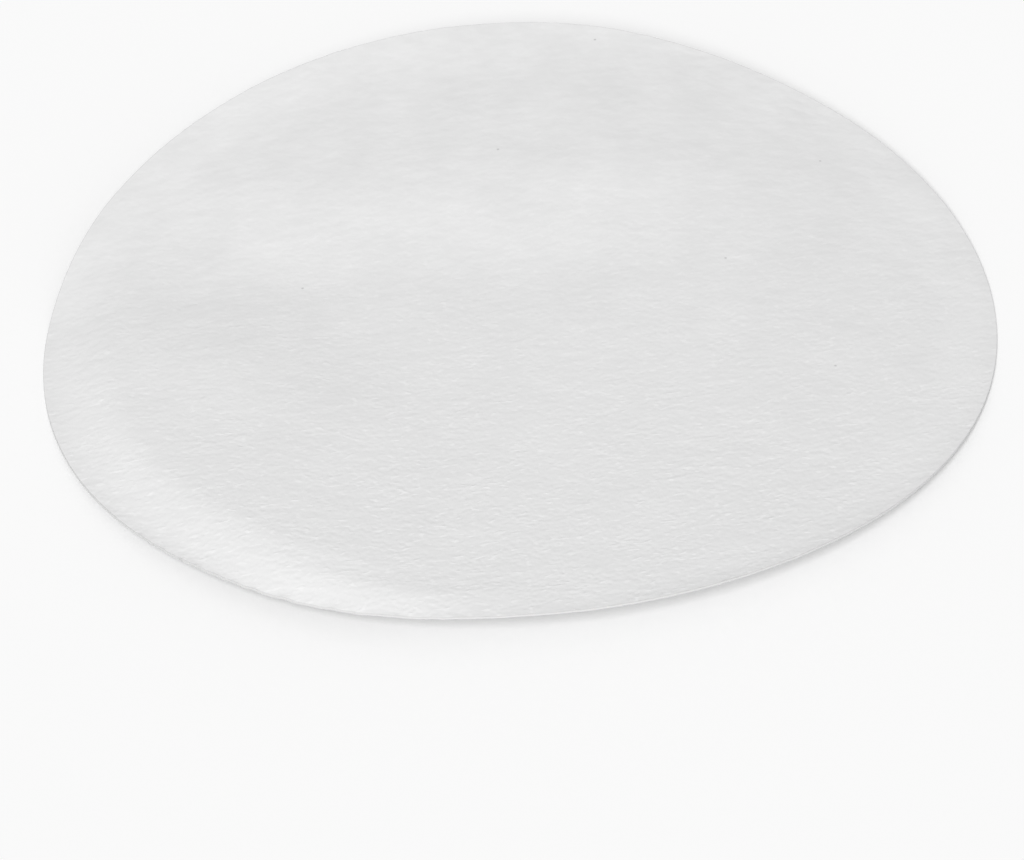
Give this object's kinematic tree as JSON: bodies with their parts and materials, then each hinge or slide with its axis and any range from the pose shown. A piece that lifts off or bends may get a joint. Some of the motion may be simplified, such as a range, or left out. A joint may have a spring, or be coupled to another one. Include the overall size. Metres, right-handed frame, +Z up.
{
  "type": "filter paper disc",
  "caption": "Thin round sheet of matte white filter paper, die-cut, with a soft crepe surface; lies loose in a low arch and lines a funnel to hold back solids.",
  "frame": {"origin": "on the table, under the middle of the disc", "axes": "+Z up, out of the sheet; +Y to the back, along the crown of the sheet's low arch; +X to the right, across the arch, which stands on its left and right rims"},
  "size_m": [0.09, 0.09, 0.0054],
  "materials": {
    "filter_paper": "matte"
  },
  "bodies": {
    "root": {"filter_disc": "filter_paper"}
  },
  "joints": []
}
